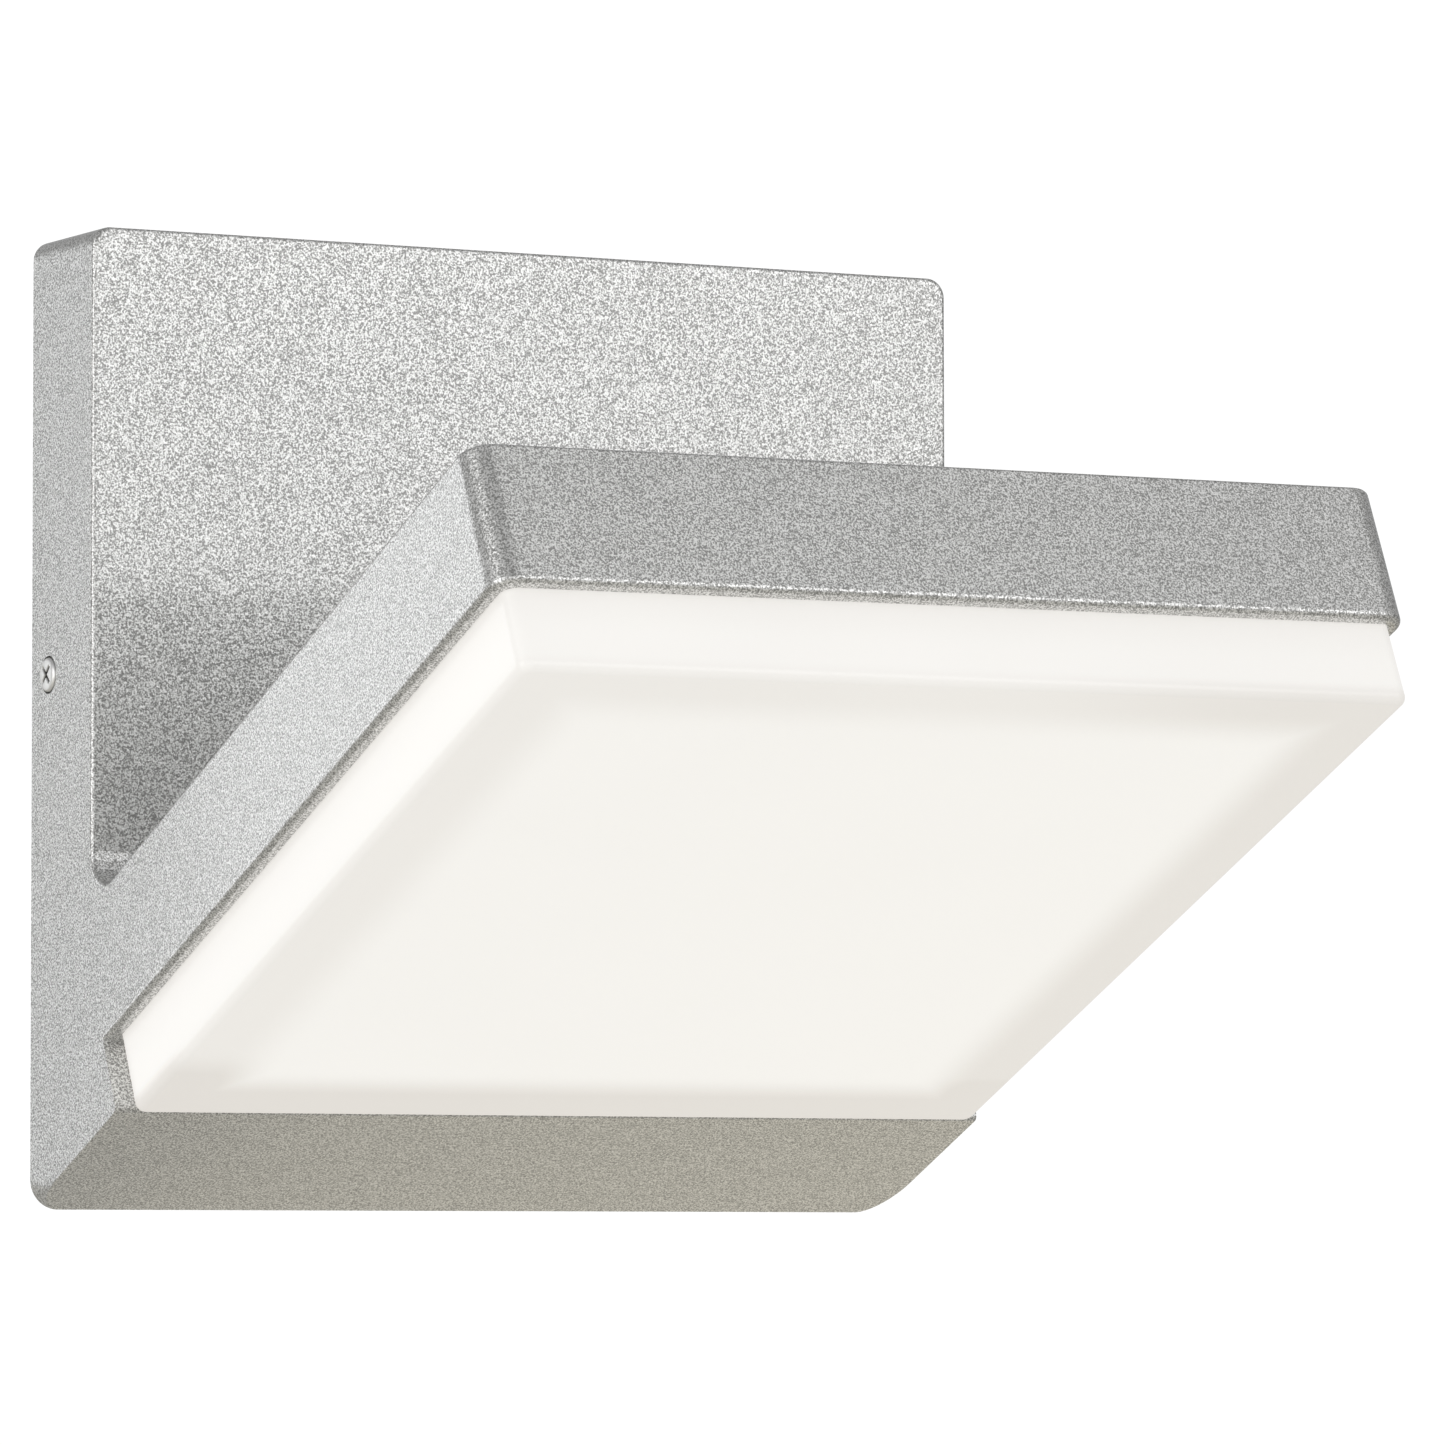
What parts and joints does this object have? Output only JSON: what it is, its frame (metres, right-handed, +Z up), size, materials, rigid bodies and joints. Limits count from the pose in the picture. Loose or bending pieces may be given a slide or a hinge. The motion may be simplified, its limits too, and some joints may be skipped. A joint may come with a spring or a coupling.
{
  "type": "outdoor wall lantern",
  "caption": "Square cast wall plate with a square slab head tilted up from its foot and a frosted diffuser that throws light down and out.",
  "frame": {"origin": "middle of the wall bracket's two screw slots, on the wall's surface", "axes": "+Y into the wall, +Z up the wall, +X along the wall to the right as seen from in front; the light stands out along -Y"},
  "size_m": [0.147, 0.1584, 0.146],
  "materials": {
    "silver_powder_coat": "fine sand-texture metallic silver powder coat",
    "frosted_white": "frosted opal plastic, lit from inside",
    "clear_silicone": "soft translucent silicone",
    "white_board": "aluminium board with white mask",
    "phosphor": "yellow phosphor in a white frame",
    "white_film": "matt white reflecting film",
    "grey_pad": "soft grey thermal pad",
    "stainless_steel": "bright turned steel",
    "zinc_plated_steel": "zinc-plated pressed sheet",
    "green_steel": "green earth screw",
    "black_foam": "closed-cell foam",
    "grey_rubber": "soft moulded rubber",
    "white_plastic": "moulded plastic",
    "nylon": "natural nylon",
    "green_board": "circuit board with green mask",
    "yellow_tape": "taped winding on dark ferrite",
    "black_sleeve": "sleeved can",
    "brass": "plated brass",
    "tinned_copper": "tinned crimp tag",
    "red_sheath": "insulated lead",
    "black_sheath": "insulated lead",
    "white_sheath": "insulated lead",
    "green_sheath": "insulated lead"
  },
  "bodies": {
    "root": {"housing": "silver_powder_coat", "diffuser": "frosted_white", "diffuser_seal": "clear_silicone", "thermal_pad": "grey_pad", "led_board": "white_board", "reflector_sheet": "white_film", "led_chips": "phosphor", "board_terminal": "white_plastic", "board_screws": "stainless_steel", "lead_grommet": "grey_rubber", "wall_gasket": "black_foam", "wall_bracket": "zinc_plated_steel", "bracket_ground_screw": "green_steel", "side_screws": "stainless_steel", "driver_case": "white_plastic", "driver_lid": "white_plastic", "driver_board": "green_board", "driver_transformer": "yellow_tape", "driver_capacitors": "black_sleeve", "driver_bushes": "grey_rubber", "driver_screws": "stainless_steel", "terminal_block": "nylon", "terminal_clamps": "brass", "block_screw": "stainless_steel", "earth_tag": "tinned_copper", "earth_screw": "green_steel", "output_lead_positive": "red_sheath", "output_lead_negative": "black_sheath", "input_lead_line": "black_sheath", "input_lead_neutral": "white_sheath", "earth_lead": "green_sheath"}
  },
  "joints": []
}
